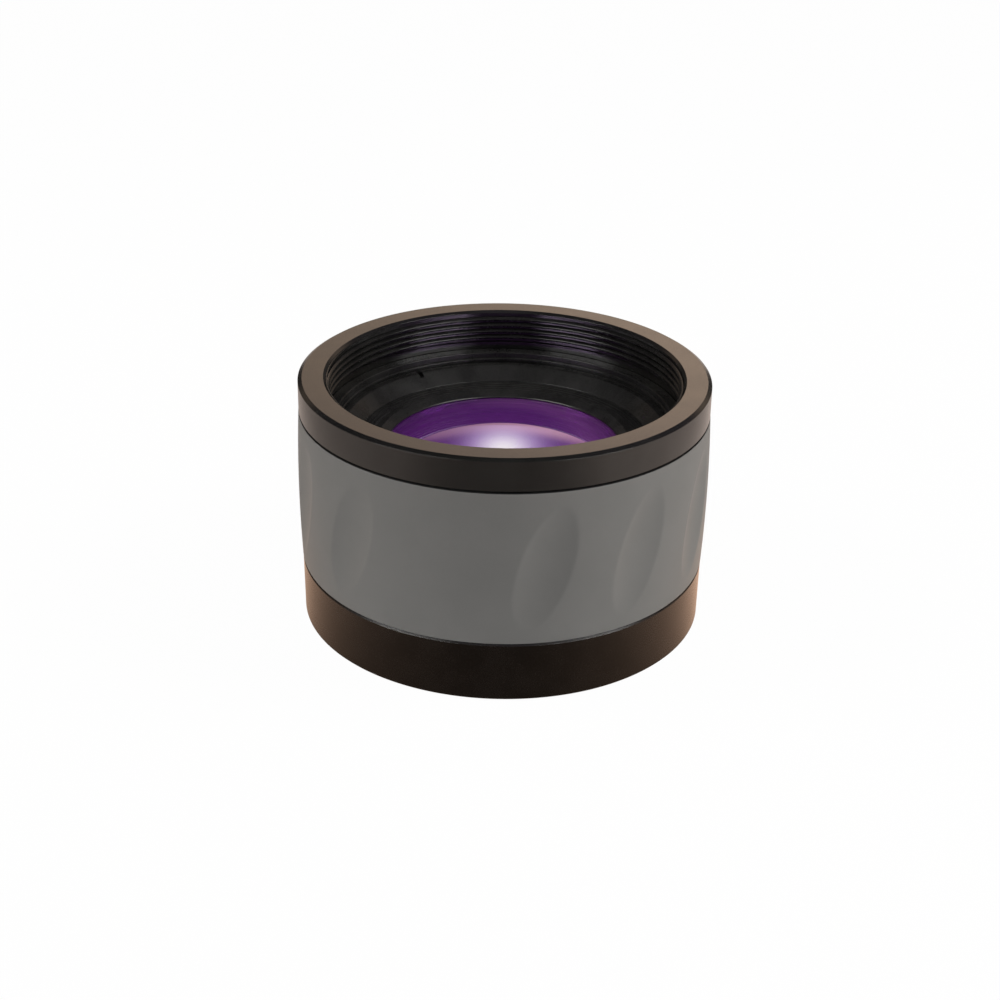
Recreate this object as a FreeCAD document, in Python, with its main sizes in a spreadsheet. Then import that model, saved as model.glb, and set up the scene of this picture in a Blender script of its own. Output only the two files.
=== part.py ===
import FreeCAD, Part
import math
import os
import Sketcher
from FreeCAD import Placement, Rotation, Vector

# A focal reducer for a telescope, stood on its camera end.
# Millimetres. The optical axis is Z, the rear face lies at height 0 and the mouth looks up.

doc = FreeCAD.newDocument("focal_reducer")

# Driving sizes: each is set by itself, and everything else follows from them.
DRIVING_SIZES = [
    ("telescope_thread_radius", 41.66, "wall of the 3.28 inch female thread in the mouth"),
    ("telescope_thread_end", 8.0, "depth under the mouth at which the thread stops"),
    ("telescope_relief_depth", 0.64, "how far the plain relief is wider than the thread"),
    ("mouth_chamfer", 0.6, "lead-in of the thread, at 45 degrees"),
    ("front_ring_height", 7.8, "height of the black ring that shows above the grip"),
    ("front_bevel_width", 0.94, "bevel between the top face and the side, across"),
    ("front_bevel_height", 0.6, "the same bevel, down"),
    ("front_skirt_length", 15.5, "length of the front ring inside the grip"),
    ("skirt_wall", 2.2, "wall of both skirts"),
    ("skirt_clearance", 0.1, "radial room between the skirts and the grip's bore"),
    ("grip_wall", 3.6, "wall of the grip at its ends"),
    ("grip_crown", 0.46, "how much the grip swells between its ends"),
    ("grip_edge_chamfer", 0.4, "small chamfer at both ends of the grip"),
    ("ring_step", 0.06, "how far the rings lie inside the grip's ends"),
    ("joint_chamfer", 0.4, "chamfer of the rings where they meet the grip"),
    ("recess_count", 12, "finger recesses; one more place stays plain, for a label"),
    ("recess_depth", 1.3, "depth of a recess at its middle"),
    ("recess_slant", 22.0, "degrees that a recess leans from the axis"),
    ("recess_form_length", 38.4, "half length of the form that a recess is cut with"),
    ("recess_form_width", 13.45, "half width of that form"),
    ("recess_form_height", 9.3, "half height of that form"),
    ("first_recess_azimuth", 281.4, "degrees round the axis to the first recess"),
    ("seal_section_radius", 0.55, "section of the soft rings in the grip's joints"),
    ("seal_inset", 1.3, "from the grip's bore to the middle of a joint ring"),
    ("seal_side_room", 0.05, "room beside a soft ring in its groove"),
    ("rear_ring_height", 14.4, "height of the black ring that shows below the grip"),
    ("rear_ring_draft", 0.16, "how far its side draws in towards the rear face"),
    ("rear_edge_chamfer", 0.4, "chamfer round the rear face"),
    ("rear_skirt_length", 10.6, "length of the rear ring inside the grip"),
    ("camera_thread_radius", 34.0, "wall of the female thread in the rear face"),
    ("camera_thread_length", 6.5, "length of that wall"),
    ("camera_thread_chamfer", 0.5, "lead-in of that thread, at 45 degrees"),
    ("camera_relief_depth", 0.5, "how far its relief is wider than the thread"),
    ("camera_relief_length", 1.0, "length of that relief"),
    ("cell_ledge_width", 1.5, "ledge in the rear ring that the cell stands on"),
    ("cell_seat_depth", 4.0, "how deep the cell's tube sits in the rear ring"),
    ("cell_fit_clearance", 0.05, "radial room round the cell in both rings"),
    ("shoulder_depth", 10.4, "from the mouth to the cell's front face"),
    ("cell_lip_wall", 2.85, "width of the cell's front face"),
    ("cell_flange_height", 12.9, "height of the cell's wide front part"),
    ("cell_edge_break", 0.2, "fine edge break on the cell and its rings"),
    ("web_thickness", 2.5, "web in the cell between the front and rear lenses"),
    ("lens_clearance", 0.05, "radial room round each lens in the cell"),
    ("ring_thread_clearance", 0.1, "radial room round both retaining rings"),
    ("retaining_ring_setback", 2.7, "from the cell's front face to the ring in it"),
    ("retaining_ring_height", 3.3, "height of the front retaining ring"),
    ("retaining_ring_flat", 1.8, "width of its flat top"),
    ("retaining_ring_land", 0.2, "upright edge at the foot of its cone"),
    ("spanner_slot_width", 1.2, "width of the spanner slots in both rings"),
    ("front_slot_depth", 0.9, "depth of the slots in the front ring"),
    ("rear_slot_depth", 1.5, "depth of the slots in the rear ring"),
    ("spanner_slot_azimuth", 124.5, "degrees round the axis to the first slot"),
    ("glare_bevel_width", 2.3, "bevel of the glare ring beside the glass, across"),
    ("glare_bevel_height", 1.56, "the same bevel, down"),
    ("glare_gap", 0.05, "room between the glare ring and the glass"),
    ("glare_seat_gap", 0.1, "room between the glare ring and the cell's ledge"),
    ("cushion_section_radius", 0.4, "section of the soft ring on the front lens"),
    ("cushion_inset", 0.7, "from the front lens's edge to that ring's middle"),
    ("front_lens_radius", 30.0, "outer radius of the cemented front pair"),
    ("glare_reach", 2.7, "how far the glare ring reaches in over the front lens"),
    ("rear_lens_radius", 27.0, "outer radius of the three rear lenses"),
    ("rear_seat_width", 3.0, "flat land round each rear lens"),
    ("front_element_edge", 3.56, "edge thickness of the front lens"),
    ("second_element_edge", 4.9, "edge thickness of the lens cemented to it"),
    ("middle_element_edge", 5.0, "edge thickness of the middle lens"),
    ("fourth_element_edge", 3.0, "edge thickness of the fourth lens"),
    ("rear_element_edge", 3.5, "edge thickness of the rear lens"),
    ("light_stop_thickness", 0.5, "thin black washer behind the middle lens"),
    ("light_stop_reach", 2.0, "how far it reaches in past the flat lands"),
    ("middle_spacer_length", 3.5, "spacer between the middle and fourth lenses"),
    ("rear_spacer_length", 2.5, "spacer between the fourth and rear lenses"),
    ("rear_gasket_thickness", 0.4, "soft washer under the rear lens"),
    ("rear_retaining_height", 2.5, "height of the rear retaining ring"),
    ("rear_ring_recess", 0.6, "how deep that ring sits in the cell's rear end"),
    ("ring_bore_step", 0.2, "how far the rings behind a lens clear its curved part"),
    ("front_curve", 97.0, "radius of the front lens's outer surface"),
    ("cement_curve", 150.0, "radius of the cemented surface"),
    ("second_back_curve", 320.0, "radius of the cemented pair's rear surface"),
    ("middle_front_curve", 150.0, "radius of the middle lens's front"),
    ("middle_back_curve", 400.0, "radius of the middle lens's back"),
    ("fourth_front_curve", 95.0, "radius of the fourth lens's front"),
    ("fourth_back_curve", 200.0, "radius of the fourth lens's back"),
    ("rear_front_curve", 120.0, "radius of the rear lens's front"),
    ("rear_back_curve", 160.0, "radius of the rear lens's back"),
    ("grub_count", 3, "set screws that lock the cell in the front ring"),
    ("grub_radius", 1.25, "outer radius of a set screw"),
    ("grub_length", 4.0, "length of a set screw"),
    ("grub_sink", 0.1, "how deep it lies under the skirt's outer face"),
    ("grub_height", 2.5, "from the foot of the cell's flange to its axis"),
    ("grub_hole_clearance", 0.05, "radial room round a set screw"),
    ("grub_socket_radius", 0.72, "across corners of its hexagon socket, halved"),
    ("grub_socket_depth", 1.4, "depth of that socket"),
]

# Places that follow from the driving sizes: radii first, then heights from the rear face up.
FOLLOWING_PLACES = [
    ("relief_radius", "dim.telescope_thread_radius + dim.telescope_relief_depth"),
    ("skirt_radius", "place.relief_radius + dim.skirt_wall"),
    ("grip_bore_radius", "place.skirt_radius + dim.skirt_clearance"),
    ("grip_end_radius", "place.grip_bore_radius + dim.grip_wall"),
    ("ring_radius", "place.grip_end_radius - dim.ring_step"),
    ("cell_radius", "place.relief_radius - dim.cell_fit_clearance"),
    ("cell_mouth_radius", "place.cell_radius - dim.cell_lip_wall"),
    ("camera_relief_radius", "dim.camera_thread_radius + dim.camera_relief_depth"),
    ("tube_radius", "place.camera_relief_radius + dim.cell_ledge_width"),
    ("tube_seat_radius", "place.tube_radius + dim.cell_fit_clearance"),
    ("front_lens_bore", "dim.front_lens_radius + dim.lens_clearance"),
    ("rear_lens_bore", "dim.rear_lens_radius + dim.lens_clearance"),
    ("clear_radius", "dim.rear_lens_radius - dim.rear_seat_width"),
    ("spacer_bore_radius", "place.clear_radius + dim.ring_bore_step"),
    ("inner_ring_radius", "place.cell_mouth_radius - dim.ring_thread_clearance"),
    ("rear_inner_ring_radius", "place.rear_lens_bore - dim.ring_thread_clearance"),
    ("cone_top_radius", "place.inner_ring_radius - dim.retaining_ring_flat"),
    ("cone_width", "dim.retaining_ring_height - dim.retaining_ring_land"),
    ("cone_foot_radius", "place.cone_top_radius - place.cone_width"),
    ("aperture_radius", "dim.front_lens_radius - dim.glare_reach"),
    ("glare_flat_radius", "place.aperture_radius + dim.glare_bevel_width"),
    ("seal_radius", "place.grip_bore_radius + dim.seal_inset"),
    ("seal_groove_half", "dim.seal_section_radius + dim.seal_side_room"),
    ("cushion_radius", "dim.front_lens_radius - dim.cushion_inset"),
    ("cushion_groove_half", "dim.cushion_section_radius + dim.seal_side_room"),
    ("cell_rear", "dim.camera_thread_chamfer + dim.camera_thread_length + dim.camera_relief_length"),
    ("rear_ring_outer_face", "place.cell_rear + dim.rear_ring_recess"),
    ("rear_ring_inner_face", "place.rear_ring_outer_face + dim.rear_retaining_height"),
    ("rear_element_back", "place.rear_ring_inner_face + dim.rear_gasket_thickness"),
    ("rear_element_front", "place.rear_element_back + dim.rear_element_edge"),
    ("fourth_element_back", "place.rear_element_front + dim.rear_spacer_length"),
    ("fourth_element_front", "place.fourth_element_back + dim.fourth_element_edge"),
    ("light_stop_back", "place.fourth_element_front + dim.middle_spacer_length"),
    ("middle_element_back", "place.light_stop_back + dim.light_stop_thickness"),
    ("web_back", "place.middle_element_back + dim.middle_element_edge"),
    ("web_front", "place.web_back + dim.web_thickness"),
    ("cement_rim", "place.web_front + dim.second_element_edge"),
    ("front_rim", "place.cement_rim + dim.front_element_edge"),
    ("front_centre", "place.front_rim - sqrt(dim.front_curve^2 - dim.front_lens_radius^2)"),
    ("glare_back", "place.front_rim + dim.glare_gap"),
    ("cell_ledge", "place.glare_back - dim.glare_seat_gap"),
    ("aperture_height", "place.front_centre + sqrt(dim.front_curve^2 - place.aperture_radius^2)"),
    ("glare_lip", "place.aperture_height + dim.glare_gap"),
    ("glare_front", "place.glare_lip + dim.glare_bevel_height"),
    ("cushion_orbit", "dim.front_curve + dim.cushion_section_radius"),
    ("cushion_height", "place.front_centre + sqrt(place.cushion_orbit^2 - place.cushion_radius^2)"),
    ("cushion_groove_top", "place.cushion_height + place.cushion_groove_half"),
    ("retaining_ring_front", "place.glare_front + dim.retaining_ring_height"),
    ("cell_front", "place.retaining_ring_front + dim.retaining_ring_setback"),
    ("cell_flange_back", "place.cell_front - dim.cell_flange_height"),
    ("mouth", "place.cell_front + dim.shoulder_depth"),
    ("grip_front", "place.mouth - dim.front_ring_height"),
    ("grip_length", "place.grip_front - dim.rear_ring_height"),
    ("grip_middle", "dim.rear_ring_height + place.grip_length / 2"),
    ("crown_half_chord", "place.grip_length / 2 - dim.grip_edge_chamfer"),
    ("crown_curve", "(place.crown_half_chord^2 + dim.grip_crown^2) / (2 * dim.grip_crown)"),
    ("crown_radius", "place.grip_end_radius + dim.grip_crown"),
    ("recess_form_radius", "place.crown_radius - dim.recess_depth + dim.recess_form_height"),
    ("recess_step", "360 / (dim.recess_count + 1)"),
    ("front_seal_height", "place.grip_front - dim.seal_section_radius"),
    ("rear_seal_height", "dim.rear_ring_height + dim.seal_section_radius"),
    ("grub_axis", "place.cell_flange_back + dim.grub_height"),
    ("grub_outer_end", "place.skirt_radius - dim.grub_sink"),
    ("grub_inner_end", "place.grub_outer_end - dim.grub_length"),
    ("grub_hole_radius", "dim.grub_radius + dim.grub_hole_clearance"),
]

# A margin by which cutters pass the face that they open, so that no skin is left.
CUT_PAST = 1.0

dim = doc.addObject("Spreadsheet::Sheet", "dim")
dim.Label = "Driving sizes"
for row, (name, size, meaning) in enumerate(DRIVING_SIZES, start=1):
    dim.set("A%d" % row, meaning)
    dim.set("B%d" % row, str(size))
    dim.setAlias("B%d" % row, name)

place = doc.addObject("Spreadsheet::Sheet", "place")
place.Label = "Places that follow"
for row, (name, rule) in enumerate(FOLLOWING_PLACES, start=1):
    place.set("A%d" % row, name.replace("_", " "))
    place.setAlias("B%d" % row, name)
    place.set("B%d" % row, "=" + rule.replace("place.", ""))
doc.recompute()

parts = []


def number(rule):
    """The value of a rule such as 'place.mouth - dim.mouth_chamfer'."""
    return float(place.evalExpression(rule))


def new_body(label, azimuth=0.0):
    """A body of its own, turned round the axis by an azimuth in degrees."""
    body = doc.addObject("PartDesign::Body", label)
    body.Label = label
    body.Placement = Placement(Vector(), Rotation(Vector(0, 0, 1), azimuth))
    parts.append(body)
    return body


def origin_feature(body, role):
    return next(feature for feature in body.Origin.OriginFeatures if feature.Role == role)


def section(body, corners):
    """A closed half section on the body's XZ plane, each size bound to the sheets.

    A corner is (radius rule, height rule), with a third item (curve rule, side) where the edge
    to the next corner is an arc whose centre lies on the left (+1) or right (-1) of the way.
    A corner on the axis at the end of an arc takes its height from the arc.
    """
    sketch = body.newObject("Sketcher::SketchObject", body.Label + "_section")
    sketch.AttachmentSupport = [(origin_feature(body, "XZ_Plane"), "")]
    sketch.MapMode = "FlatFace"
    spots = [Vector(number(corner[0]), number(corner[1]), 0) for corner in corners]
    arcs = [corner[2] if len(corner) > 2 else None for corner in corners]
    count = len(corners)
    ends = []
    for index, arc in enumerate(arcs):
        start, stop = spots[index], spots[(index + 1) % count]
        if arc is None:
            sketch.addGeometry(Part.LineSegment(start, stop), False)
            ends.append((1, 2))
            continue
        curve, side = number(arc[0]), arc[1]
        chord = stop - start
        left = Vector(-chord.y, chord.x, 0).normalize()
        centre = (start + stop) / 2 + left * side * math.sqrt(curve ** 2 - chord.Length ** 2 / 4)
        first, last = (start, stop) if side > 0 else (stop, start)
        angles = [math.atan2((spot - centre).y, (spot - centre).x) for spot in (first, last)]
        circle = Part.Circle(centre, Vector(0, 0, 1), curve)
        sketch.addGeometry(Part.ArcOfCircle(circle, *angles), False)
        ends.append((1, 2) if side > 0 else (2, 1))

    def bind(kind, edge, end, rule):
        index = sketch.addConstraint(Sketcher.Constraint(kind, -1, 1, edge, end, number(rule)))
        sketch.setExpression("Constraints[%d]" % index, rule)

    for index in range(count):
        follower = (index + 1) % count
        joint = (index, ends[index][1], follower, ends[follower][0])
        sketch.addConstraint(Sketcher.Constraint("Coincident", *joint))
    for index, corner in enumerate(corners):
        end = ends[index][0]
        beside_arc = arcs[index] is not None or arcs[index - 1] is not None
        if corner[0] == "0":
            sketch.addConstraint(Sketcher.Constraint("PointOnObject", index, end, -2))
        else:
            bind("DistanceX", index, end, corner[0])
        if corner[1] == "0":
            sketch.addConstraint(Sketcher.Constraint("PointOnObject", index, end, -1))
        elif corner[0] != "0" or not beside_arc:
            bind("DistanceY", index, end, corner[1])
    for index, arc in enumerate(arcs):
        if arc is None:
            continue
        radius = sketch.addConstraint(Sketcher.Constraint("Radius", index, number(arc[0])))
        sketch.setExpression("Constraints[%d]" % radius, arc[0])
        if "0" in (corners[index][0], corners[(index + 1) % count][0]):
            sketch.addConstraint(Sketcher.Constraint("PointOnObject", index, 3, -2))
    return sketch


def turned(label, corners, azimuth=0.0):
    """A piece turned from a half section, as on a lathe."""
    body = new_body(label, azimuth)
    revolution = body.newObject("PartDesign::Revolution", label + "_turned")
    sketch = section(body, corners)
    revolution.Profile = sketch
    revolution.ReferenceAxis = (sketch, ["V_Axis"])
    revolution.Angle = 360
    doc.recompute()
    return body


def groove(body, corners):
    """A groove turned into a piece from a second half section."""
    before = body.Shape.Volume
    sketch = section(body, corners)
    cut = body.newObject("PartDesign::Groove", body.Label + "_groove")
    cut.Profile = sketch
    cut.ReferenceAxis = (sketch, ["V_Axis"])
    cut.Angle = 360
    doc.recompute()
    check_cut(body, before)


def cut_round(body, kind, plane, base, sizes, count, angle, rotation=Rotation()):
    """One primitive cut, repeated round the axis, with its sizes and place bound to the sheets."""
    before = body.Shape.Volume
    cutter = body.newObject("PartDesign::" + kind, body.Label + "_cut")
    cutter.AttachmentSupport = [(origin_feature(body, plane), "")]
    cutter.MapMode = "FlatFace"
    cutter.AttachmentOffset = Placement(Vector(*[number(rule) for rule in base]), rotation)
    for axis, rule in zip("xyz", base):
        cutter.setExpression("AttachmentOffset.Base." + axis, rule)
    for name, rule in sizes.items():
        cutter.setExpression(name, rule)
    doc.recompute()
    pattern = body.newObject("PartDesign::PolarPattern", body.Label + "_pattern")
    pattern.Originals = [cutter]
    pattern.Axis = (origin_feature(body, "Z_Axis"), [""])
    pattern.setExpression("Angle", angle)
    pattern.setExpression("Occurrences", count)
    body.Tip = pattern
    doc.recompute()
    check_cut(body, before)


def check_cut(body, before):
    if body.Shape.Volume >= before - 1e-6:
        raise ValueError("a cut took nothing off " + body.Label)


def soft_ring(label, ring_radius, section_radius, height):
    """A soft ring of round section."""
    torus = doc.addObject("Part::Torus", label)
    torus.Label = label
    torus.setExpression("Radius1", ring_radius)
    torus.setExpression("Radius2", section_radius)
    torus.setExpression("Placement.Base.z", height)
    doc.recompute()
    parts.append(torus)


def flat_ring(label, inner, outer, low, high):
    """A plain ring of rectangular section."""
    return turned(label, [(inner, low), (outer, low), (outer, high), (inner, high)])


# The front ring carries the telescope's thread; its skirt goes down inside the grip.
front_ring = turned("front_ring", [
    ("dim.telescope_thread_radius + dim.mouth_chamfer", "place.mouth"),
    ("dim.telescope_thread_radius", "place.mouth - dim.mouth_chamfer"),
    ("dim.telescope_thread_radius", "place.mouth - dim.telescope_thread_end"),
    ("place.relief_radius", "place.mouth - dim.telescope_thread_end - dim.telescope_relief_depth"),
    ("place.relief_radius", "place.grip_front - dim.front_skirt_length"),
    ("place.skirt_radius", "place.grip_front - dim.front_skirt_length"),
    ("place.skirt_radius", "place.grip_front"),
    ("place.ring_radius - dim.joint_chamfer", "place.grip_front"),
    ("place.ring_radius", "place.grip_front + dim.joint_chamfer"),
    ("place.ring_radius", "place.mouth - dim.front_bevel_height"),
    ("place.ring_radius - dim.front_bevel_width", "place.mouth"),
])

# The grip barrel is crowned; a groove in each end face holds a soft ring.
grip_barrel = turned("grip_barrel", [
    ("place.grip_bore_radius", "dim.rear_ring_height"),
    ("place.seal_radius - place.seal_groove_half", "dim.rear_ring_height"),
    ("place.seal_radius - place.seal_groove_half", "dim.rear_ring_height + 2 * place.seal_groove_half"),
    ("place.seal_radius + place.seal_groove_half", "dim.rear_ring_height + 2 * place.seal_groove_half"),
    ("place.seal_radius + place.seal_groove_half", "dim.rear_ring_height"),
    ("place.grip_end_radius - dim.grip_edge_chamfer", "dim.rear_ring_height"),
    ("place.grip_end_radius", "dim.rear_ring_height + dim.grip_edge_chamfer", ("place.crown_curve", 1)),
    ("place.grip_end_radius", "place.grip_front - dim.grip_edge_chamfer"),
    ("place.grip_end_radius - dim.grip_edge_chamfer", "place.grip_front"),
    ("place.seal_radius + place.seal_groove_half", "place.grip_front"),
    ("place.seal_radius + place.seal_groove_half", "place.grip_front - 2 * place.seal_groove_half"),
    ("place.seal_radius - place.seal_groove_half", "place.grip_front - 2 * place.seal_groove_half"),
    ("place.seal_radius - place.seal_groove_half", "place.grip_front"),
    ("place.grip_bore_radius", "place.grip_front"),
], azimuth=number("dim.first_recess_azimuth"))

# The finger recesses are cut by one slanted form, stepped round the grip past the label's place.
cut_round(
    grip_barrel, "SubtractiveEllipsoid", "XY_Plane",
    base=("place.recess_form_radius", "0", "place.grip_middle"),
    sizes={
        "Radius1": "dim.recess_form_length",
        "Radius2": "dim.recess_form_height",
        "Radius3": "dim.recess_form_width",
    },
    count="dim.recess_count",
    angle="place.recess_step * (dim.recess_count - 1)",
    rotation=Rotation(Vector(1, 0, 0), -number("dim.recess_slant")),
)

# The rear ring carries the camera's thread, a ledge for the cell and a skirt inside the grip.
rear_ring = turned("rear_ring", [
    ("dim.camera_thread_radius + dim.camera_thread_chamfer", "0"),
    ("place.ring_radius - dim.rear_ring_draft - dim.rear_edge_chamfer", "0"),
    ("place.ring_radius - dim.rear_ring_draft", "dim.rear_edge_chamfer"),
    ("place.ring_radius", "dim.rear_ring_height - dim.joint_chamfer"),
    ("place.ring_radius - dim.joint_chamfer", "dim.rear_ring_height"),
    ("place.skirt_radius", "dim.rear_ring_height"),
    ("place.skirt_radius", "dim.rear_ring_height + dim.rear_skirt_length"),
    ("place.relief_radius", "dim.rear_ring_height + dim.rear_skirt_length"),
    ("place.relief_radius", "place.cell_rear + dim.cell_seat_depth"),
    ("place.tube_seat_radius", "place.cell_rear + dim.cell_seat_depth"),
    ("place.tube_seat_radius", "place.cell_rear"),
    ("place.camera_relief_radius", "place.cell_rear"),
    ("place.camera_relief_radius", "place.cell_rear - dim.camera_relief_length"),
    ("dim.camera_thread_radius", "place.cell_rear - dim.camera_relief_length"),
    ("dim.camera_thread_radius", "dim.camera_thread_chamfer"),
])

# The lens cell: a flange in the front ring, a tube down to the rear ring, a web between the lenses.
lens_cell = turned("lens_cell", [
    ("place.rear_lens_bore", "place.cell_rear"),
    ("place.tube_radius - dim.cell_edge_break", "place.cell_rear"),
    ("place.tube_radius", "place.cell_rear + dim.cell_edge_break"),
    ("place.tube_radius", "place.cell_flange_back"),
    ("place.cell_radius", "place.cell_flange_back"),
    ("place.cell_radius", "place.cell_front - dim.cell_edge_break"),
    ("place.cell_radius - dim.cell_edge_break", "place.cell_front"),
    ("place.cell_mouth_radius + dim.cell_edge_break", "place.cell_front"),
    ("place.cell_mouth_radius", "place.cell_front - dim.cell_edge_break"),
    ("place.cell_mouth_radius", "place.cell_ledge"),
    ("place.front_lens_bore", "place.cell_ledge"),
    ("place.front_lens_bore", "place.web_front"),
    ("place.clear_radius", "place.web_front"),
    ("place.clear_radius", "place.web_back"),
    ("place.rear_lens_bore", "place.web_back"),
])

# Set screws go through the front ring's skirt into the cell's flange, so both are drilled.
for carrier in (front_ring, lens_cell):
    cut_round(
        carrier, "SubtractiveCylinder", "YZ_Plane",
        base=("0", "place.grub_axis", "place.grub_inner_end - dim.grub_hole_clearance"),
        sizes={
            "Radius": "place.grub_hole_radius",
            "Height": "dim.grub_length + dim.grub_sink + %r" % CUT_PAST,
        },
        count="dim.grub_count",
        angle="360 - 360 / dim.grub_count",
    )

# The front retaining ring has a cone towards the glass and two slots for a spanner.
front_retaining_ring = turned("front_retaining_ring", [
    ("place.cone_foot_radius", "place.glare_front"),
    ("place.inner_ring_radius", "place.glare_front"),
    ("place.inner_ring_radius", "place.retaining_ring_front - dim.cell_edge_break"),
    ("place.inner_ring_radius - dim.cell_edge_break", "place.retaining_ring_front"),
    ("place.cone_top_radius", "place.retaining_ring_front"),
    ("place.cone_foot_radius", "place.retaining_ring_front - place.cone_width"),
], azimuth=number("dim.spanner_slot_azimuth"))
cut_round(
    front_retaining_ring, "SubtractiveBox", "XY_Plane",
    base=(
        "place.cone_foot_radius",
        "-dim.spanner_slot_width / 2",
        "place.retaining_ring_front - dim.front_slot_depth",
    ),
    sizes={
        "Length": "place.inner_ring_radius - place.cone_foot_radius + %r" % CUT_PAST,
        "Width": "dim.spanner_slot_width",
        "Height": "dim.front_slot_depth + %r" % CUT_PAST,
    },
    count="2",
    angle="180",
)

# The glare ring lies flat under it and bevels down to the glass; a groove holds the soft ring.
glare_ring = turned("glare_ring", [
    ("place.aperture_radius", "place.glare_lip"),
    ("place.front_lens_bore", "place.glare_back"),
    ("place.inner_ring_radius", "place.glare_back"),
    ("place.inner_ring_radius", "place.glare_front"),
    ("place.glare_flat_radius", "place.glare_front"),
])
groove(glare_ring, [
    ("place.cushion_radius - place.cushion_groove_half", "place.cell_ledge"),
    ("place.cushion_radius + place.cushion_groove_half", "place.cell_ledge"),
    ("place.cushion_radius + place.cushion_groove_half", "place.cushion_groove_top"),
    ("place.cushion_radius - place.cushion_groove_half", "place.cushion_groove_top"),
])
soft_ring("front_cushion_ring", "place.cushion_radius", "dim.cushion_section_radius", "place.cushion_height")


def sag(curve, radius):
    """How deep a spherical face of a given curve is at a given radius."""
    return "(%s - sqrt(%s^2 - %s^2))" % (curve, curve, radius)


# The front lens and the one cemented to it share one curve and one edge radius.
cement_pole = "place.cement_rim - " + sag("dim.cement_curve", "dim.front_lens_radius")
turned("front_element", [
    ("0", cement_pole, ("dim.cement_curve", 1)),
    ("dim.front_lens_radius", "place.cement_rim"),
    ("dim.front_lens_radius", "place.front_rim", ("dim.front_curve", 1)),
    ("0", "place.front_rim + " + sag("dim.front_curve", "dim.front_lens_radius")),
])
second_pole = "place.web_front - " + sag("dim.second_back_curve", "place.clear_radius")
turned("second_element", [
    ("0", second_pole, ("dim.second_back_curve", 1)),
    ("place.clear_radius", "place.web_front"),
    ("dim.front_lens_radius", "place.web_front"),
    ("dim.front_lens_radius", "place.cement_rim", ("dim.cement_curve", -1)),
    ("0", cement_pole),
])


def rear_lens(label, back, front, back_curve, back_sign, front_curve, front_sign):
    """A lens of the rear group; a sign of +1 is a face that swells outwards, -1 a hollow one."""
    back_pole = "%s - %d * %s" % (back, back_sign, sag(back_curve, "place.clear_radius"))
    front_pole = "%s + %d * %s" % (front, front_sign, sag(front_curve, "place.clear_radius"))
    turned(label, [
        ("0", back_pole, (back_curve, back_sign)),
        ("place.clear_radius", back),
        ("dim.rear_lens_radius", back),
        ("dim.rear_lens_radius", front),
        ("place.clear_radius", front, (front_curve, front_sign)),
        ("0", front_pole),
    ])


# Behind the web: three lenses with their spacers, a light stop, a soft washer and a ring.
rear_lens(
    "middle_element", "place.middle_element_back", "place.web_back",
    "dim.middle_back_curve", -1, "dim.middle_front_curve", -1,
)
flat_ring(
    "light_stop", "place.clear_radius - dim.light_stop_reach", "dim.rear_lens_radius",
    "place.light_stop_back", "place.middle_element_back",
)
flat_ring(
    "middle_spacer", "place.spacer_bore_radius", "dim.rear_lens_radius",
    "place.fourth_element_front", "place.light_stop_back",
)
rear_lens(
    "fourth_element", "place.fourth_element_back", "place.fourth_element_front",
    "dim.fourth_back_curve", 1, "dim.fourth_front_curve", 1,
)
flat_ring(
    "rear_spacer", "place.spacer_bore_radius", "dim.rear_lens_radius",
    "place.rear_element_front", "place.fourth_element_back",
)
rear_lens(
    "rear_element", "place.rear_element_back", "place.rear_element_front",
    "dim.rear_back_curve", 1, "dim.rear_front_curve", -1,
)
flat_ring(
    "rear_gasket", "place.spacer_bore_radius", "place.rear_inner_ring_radius",
    "place.rear_ring_inner_face", "place.rear_element_back",
)
rear_retaining_ring = turned("rear_retaining_ring", [
    ("place.spacer_bore_radius + dim.cell_edge_break", "place.rear_ring_outer_face"),
    ("place.rear_inner_ring_radius - dim.cell_edge_break", "place.rear_ring_outer_face"),
    ("place.rear_inner_ring_radius", "place.rear_ring_outer_face + dim.cell_edge_break"),
    ("place.rear_inner_ring_radius", "place.rear_ring_inner_face"),
    ("place.spacer_bore_radius", "place.rear_ring_inner_face"),
    ("place.spacer_bore_radius", "place.rear_ring_outer_face + dim.cell_edge_break"),
], azimuth=number("dim.spanner_slot_azimuth"))
cut_round(
    rear_retaining_ring, "SubtractiveBox", "XY_Plane",
    base=(
        "place.spacer_bore_radius - %r" % CUT_PAST,
        "-dim.spanner_slot_width / 2",
        "place.rear_ring_outer_face - %r" % CUT_PAST,
    ),
    sizes={
        "Length": "place.rear_inner_ring_radius - place.spacer_bore_radius + 2 * %r" % CUT_PAST,
        "Width": "dim.spanner_slot_width",
        "Height": "dim.rear_slot_depth + %r" % CUT_PAST,
    },
    count="2",
    angle="180",
)

# Soft rings seal the two joints of the grip barrel.
soft_ring("front_joint_seal", "place.seal_radius", "dim.seal_section_radius", "place.front_seal_height")
soft_ring("rear_joint_seal", "place.seal_radius", "dim.seal_section_radius", "place.rear_seal_height")

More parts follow.
